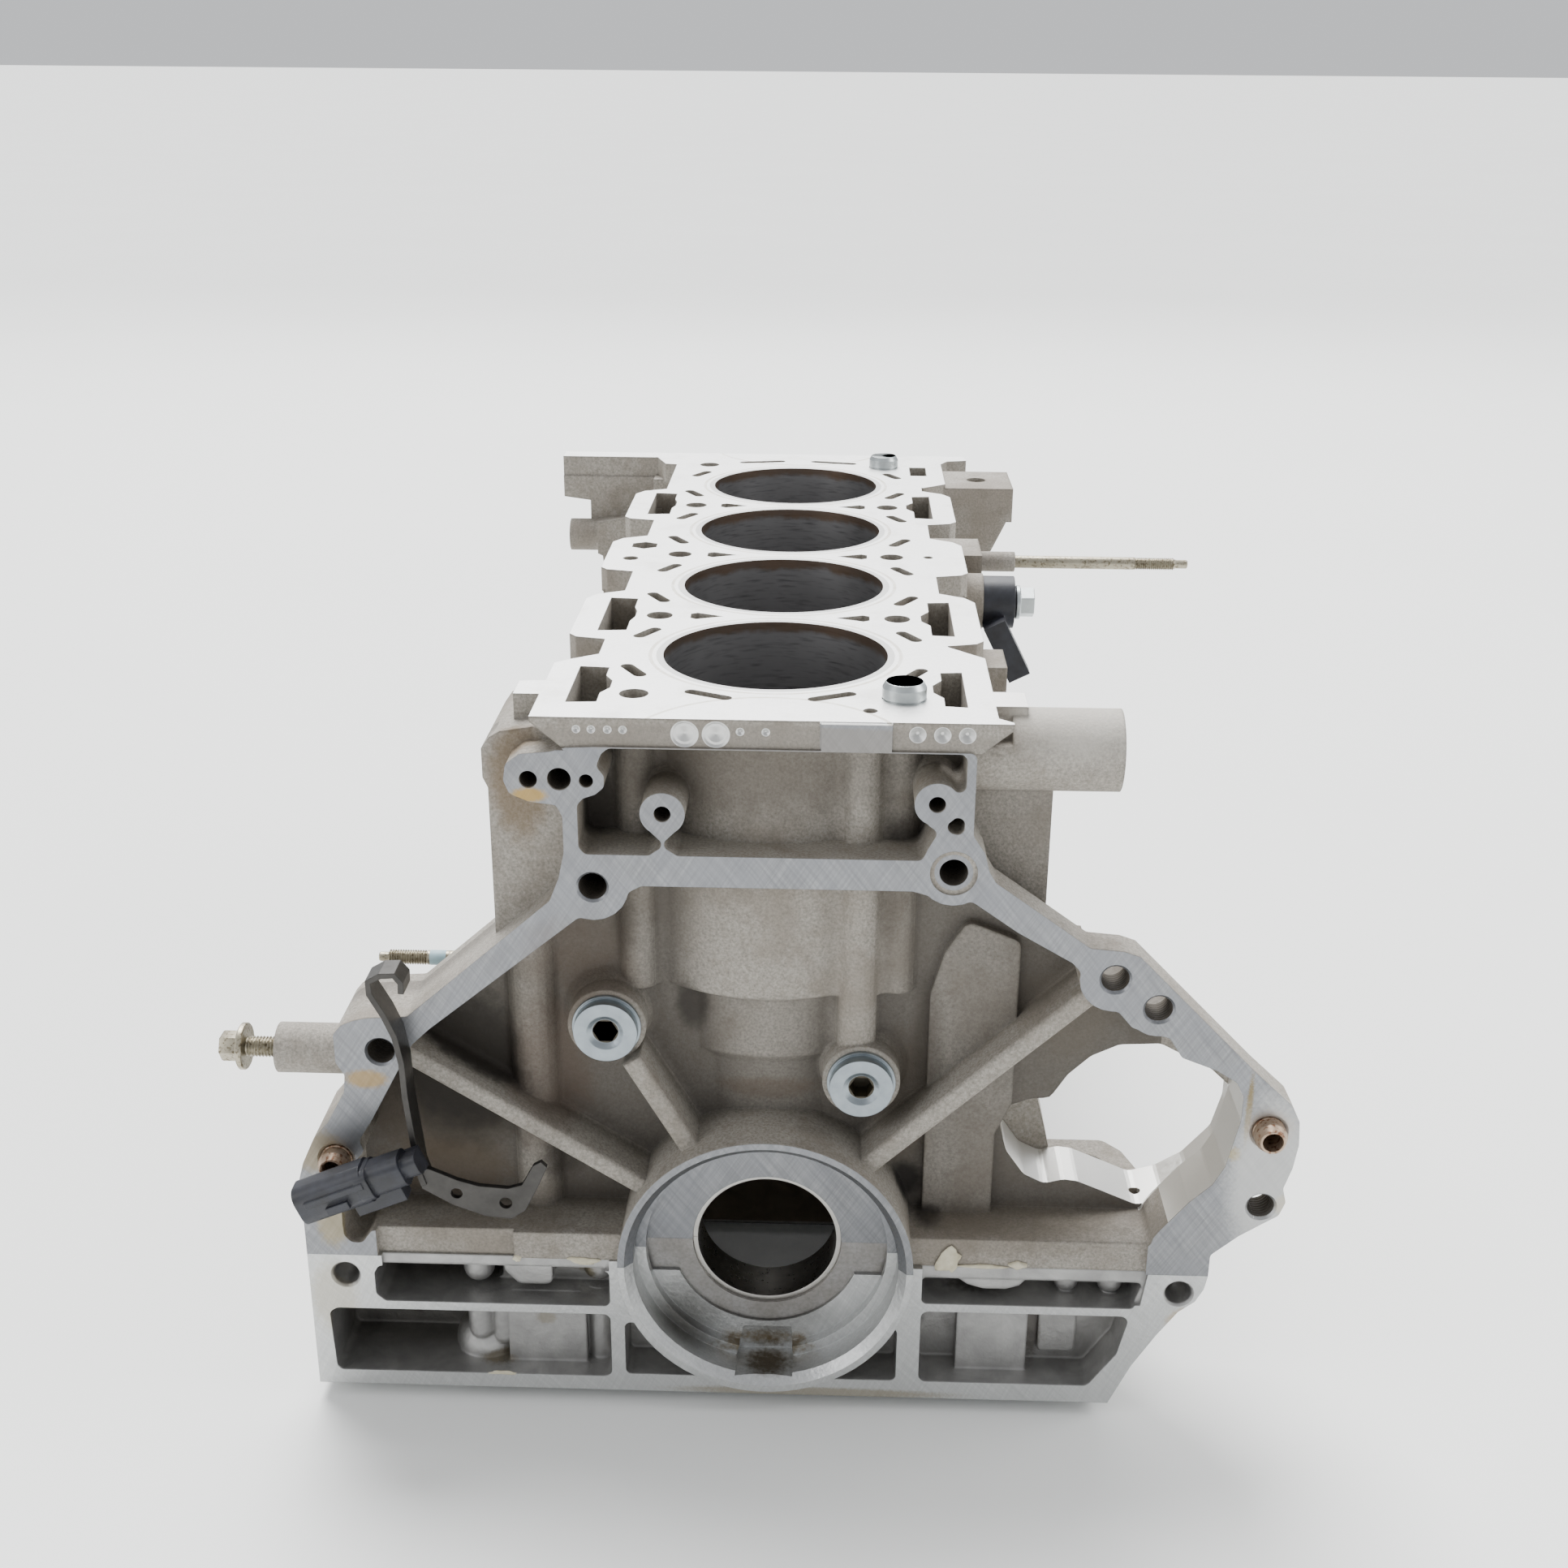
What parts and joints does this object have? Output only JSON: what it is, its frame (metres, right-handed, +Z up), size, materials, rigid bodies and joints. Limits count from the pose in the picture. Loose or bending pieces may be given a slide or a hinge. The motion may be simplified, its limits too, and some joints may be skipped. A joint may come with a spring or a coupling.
{
  "type": "engine block",
  "caption": "Aluminium inline engine block with bolted bedplate, closed deck with iron-lined bores, rear gearbox flange with starter opening, crank bearings and side fittings.",
  "frame": {"origin": "where the crankshaft axis meets the plane of the rear gearbox face", "axes": "+Y runs along the crankshaft axis from the gearbox face to the timing face, +Z up to the deck face, +X to the right seen from the rear, on the starter motor's side"},
  "size_m": [0.408, 0.4861, 0.298],
  "materials": {
    "cast_aluminium": "rough die-cast skin, machined faces lighter",
    "bedplate_aluminium": "die-cast skin, machined faces lighter",
    "cast_iron": "machined grey iron",
    "liner_iron": "honed",
    "bearing_metal": "smooth, matt",
    "bolt_steel": "phosphated",
    "zinc_steel": "zinc plated",
    "yellow_zinc_steel": "yellow passivated zinc, stained",
    "rusty_steel": "bare steel with light rust",
    "bracket_steel": "dark coated sheet steel",
    "black_plastic": "moulded"
  },
  "bodies": {
    "root": {"cylinder_block": "cast_aluminium", "bedplate": "bedplate_aluminium", "liner_1": "liner_iron", "liner_2": "liner_iron", "liner_3": "liner_iron", "liner_4": "liner_iron", "cap_insert_1": "cast_iron", "cap_insert_2": "cast_iron", "cap_insert_3": "cast_iron", "cap_insert_4": "cast_iron", "cap_insert_5": "cast_iron", "upper_shell_1": "bearing_metal", "upper_shell_2": "bearing_metal", "upper_shell_3": "bearing_metal", "upper_shell_4": "bearing_metal", "upper_shell_5": "bearing_metal", "lower_shell_1": "bearing_metal", "lower_shell_2": "bearing_metal", "lower_shell_3": "bearing_metal", "lower_shell_4": "bearing_metal", "lower_shell_5": "bearing_metal", "main_bolts": "bolt_steel", "bedplate_bolts": "bolt_steel", "gallery_plug_left": "zinc_steel", "gallery_plug_right": "zinc_steel", "deck_dowel_rear": "zinc_steel", "deck_dowel_front": "zinc_steel", "flange_dowel_left": "rusty_steel", "flange_dowel_right": "rusty_steel", "harness_bracket": "bracket_steel", "harness_connector": "black_plastic", "side_bolt": "yellow_zinc_steel", "side_stud": "yellow_zinc_steel", "long_stud": "yellow_zinc_steel", "stud_sleeve": "zinc_steel", "knock_sensor": "black_plastic", "knock_sensor_bolt": "zinc_steel"}
  },
  "joints": []
}
